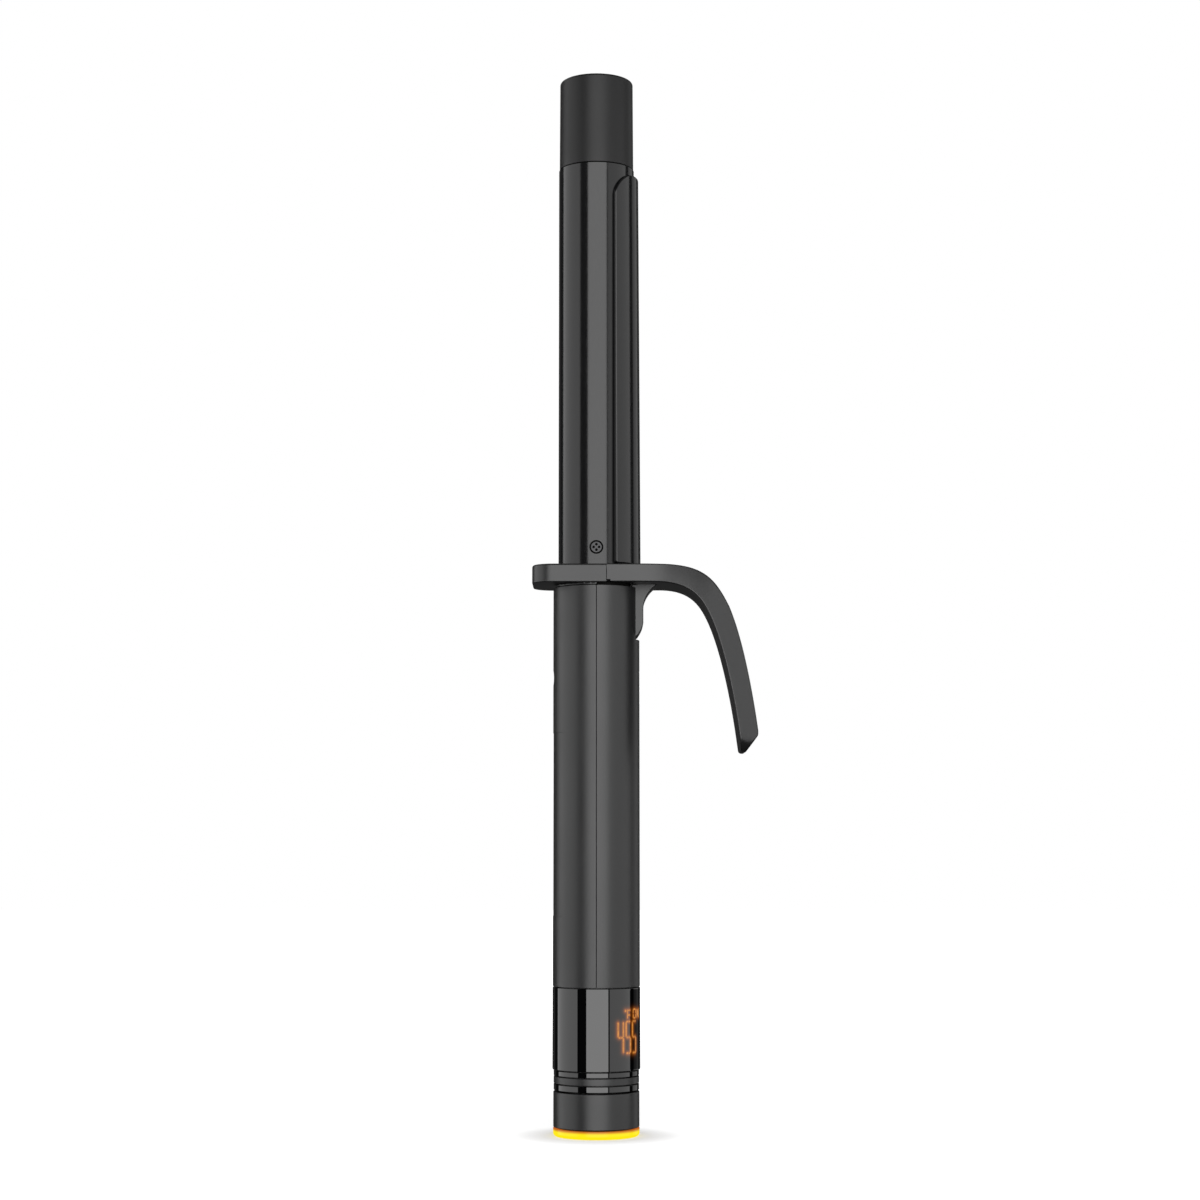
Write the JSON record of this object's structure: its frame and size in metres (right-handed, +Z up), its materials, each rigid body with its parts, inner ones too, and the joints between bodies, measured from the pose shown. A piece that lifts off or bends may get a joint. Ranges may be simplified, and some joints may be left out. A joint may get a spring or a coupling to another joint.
{
  "type": "curling iron",
  "caption": "Upright spring-clamp curling iron with a round heated barrel, thumb lever and finger guard, slim handle, display sleeve, turning temperature dial and glowing base ring.",
  "frame": {"origin": "middle of the whole object's footprint, on the surface that the base ring stands on; the barrel's axis is vertical at X = -16 mm", "axes": "+Z up the barrel, +X towards the thumb lever, Y across the lever"},
  "size_m": [0.0746, 0.0288, 0.3534],
  "materials": {
    "satin_black": "satin moulded plastic",
    "gloss_black": "piano gloss",
    "tip_black": "fine matte heat-resistant plastic",
    "soft_black": "matte",
    "barrel_coat": "semi-gloss dark coating",
    "dark_steel": "black oxide",
    "bright_steel": "machined",
    "aluminium": "extruded",
    "ceramic": "matte fired",
    "insulator": "moulded heat-resistant plastic",
    "circuit_board": "solder mask",
    "lead_sleeve": "silicone sleeve",
    "light_diffuser": "lit diffuser",
    "display_amber": "lit display"
  },
  "bodies": {
    "handle": {"light_ring": "light_diffuser", "led_board": "circuit_board", "base_plate": "satin_black", "base_screw_1": "bright_steel", "base_screw_2": "bright_steel", "base_screw_3": "bright_steel", "gland_bush": "bright_steel", "slip_ring_block": "insulator", "core": "satin_black", "detent_spring": "bright_steel", "neck_band_lower": "gloss_black", "neck_band_middle": "satin_black", "neck_band_upper": "gloss_black", "display_sleeve": "gloss_black", "display_panel": "display_amber", "display_board": "circuit_board", "ribbon_cable": "insulator", "supply_lead_live": "lead_sleeve", "supply_lead_neutral": "lead_sleeve", "handle_back": "satin_black", "handle_front": "satin_black", "handle_screw": "dark_steel", "main_board": "circuit_board", "power_capacitor": "insulator", "triac_module": "gloss_black", "power_inductor": "lead_sleeve", "power_switch": "bright_steel", "unit_switch": "bright_steel", "barrel_socket": "insulator", "barrel": "barrel_coat", "barrel_screw_near": "dark_steel", "barrel_screw_far": "dark_steel", "heater_core_near": "aluminium", "heater_core_far": "aluminium", "heater_ceramic": "ceramic", "thermistor": "ceramic", "thermal_fuse": "bright_steel", "heater_lead_live": "lead_sleeve", "heater_lead_neutral": "lead_sleeve", "tip_plug": "insulator", "tip_screw": "bright_steel", "cool_tip": "tip_black", "finger_guard": "satin_black", "pivot_pin": "bright_steel"},
    "clamp": {"clamp_plate": "barrel_coat", "clamp_rivet_near": "bright_steel", "clamp_rivet_far": "bright_steel", "thumb_lever": "satin_black", "return_spring": "bright_steel"},
    "dial": {"dial": "satin_black", "detent_ring": "insulator"},
    "cord_gland": {"cord_gland": "soft_black"},
    "power_button": {"power_button": "satin_black"},
    "unit_button": {"unit_button": "satin_black"}
  },
  "joints": [
    {"name": "clamp_hinge", "type": "hinge", "parent": "handle", "child": "clamp", "pos_m": [-0.008, 0, 0.1745], "axis": [0, 1, 0], "range_deg": [0, 12], "stiffness_Nm_per_rad": 1.2, "springref_deg": -8.59},
    {"name": "dial_turn", "type": "hinge", "parent": "handle", "child": "dial", "pos_m": [-0.016, 0, 0.0087], "axis": [0, 0, 1], "continuous": true},
    {"name": "cord_swivel", "type": "hinge", "parent": "handle", "child": "cord_gland", "pos_m": [-0.016, 0, 0.007], "axis": [0, 0, 1], "continuous": true},
    {"name": "power_press", "type": "slide", "parent": "handle", "child": "power_button", "axis": [-1, 0, 0], "range_m": [0, 0.0005], "stiffness_N_per_m": 300, "springref_m": -0.0005},
    {"name": "unit_press", "type": "slide", "parent": "handle", "child": "unit_button", "axis": [-1, 0, 0], "range_m": [0, 0.0005], "stiffness_N_per_m": 300, "springref_m": -0.0005}
  ]
}
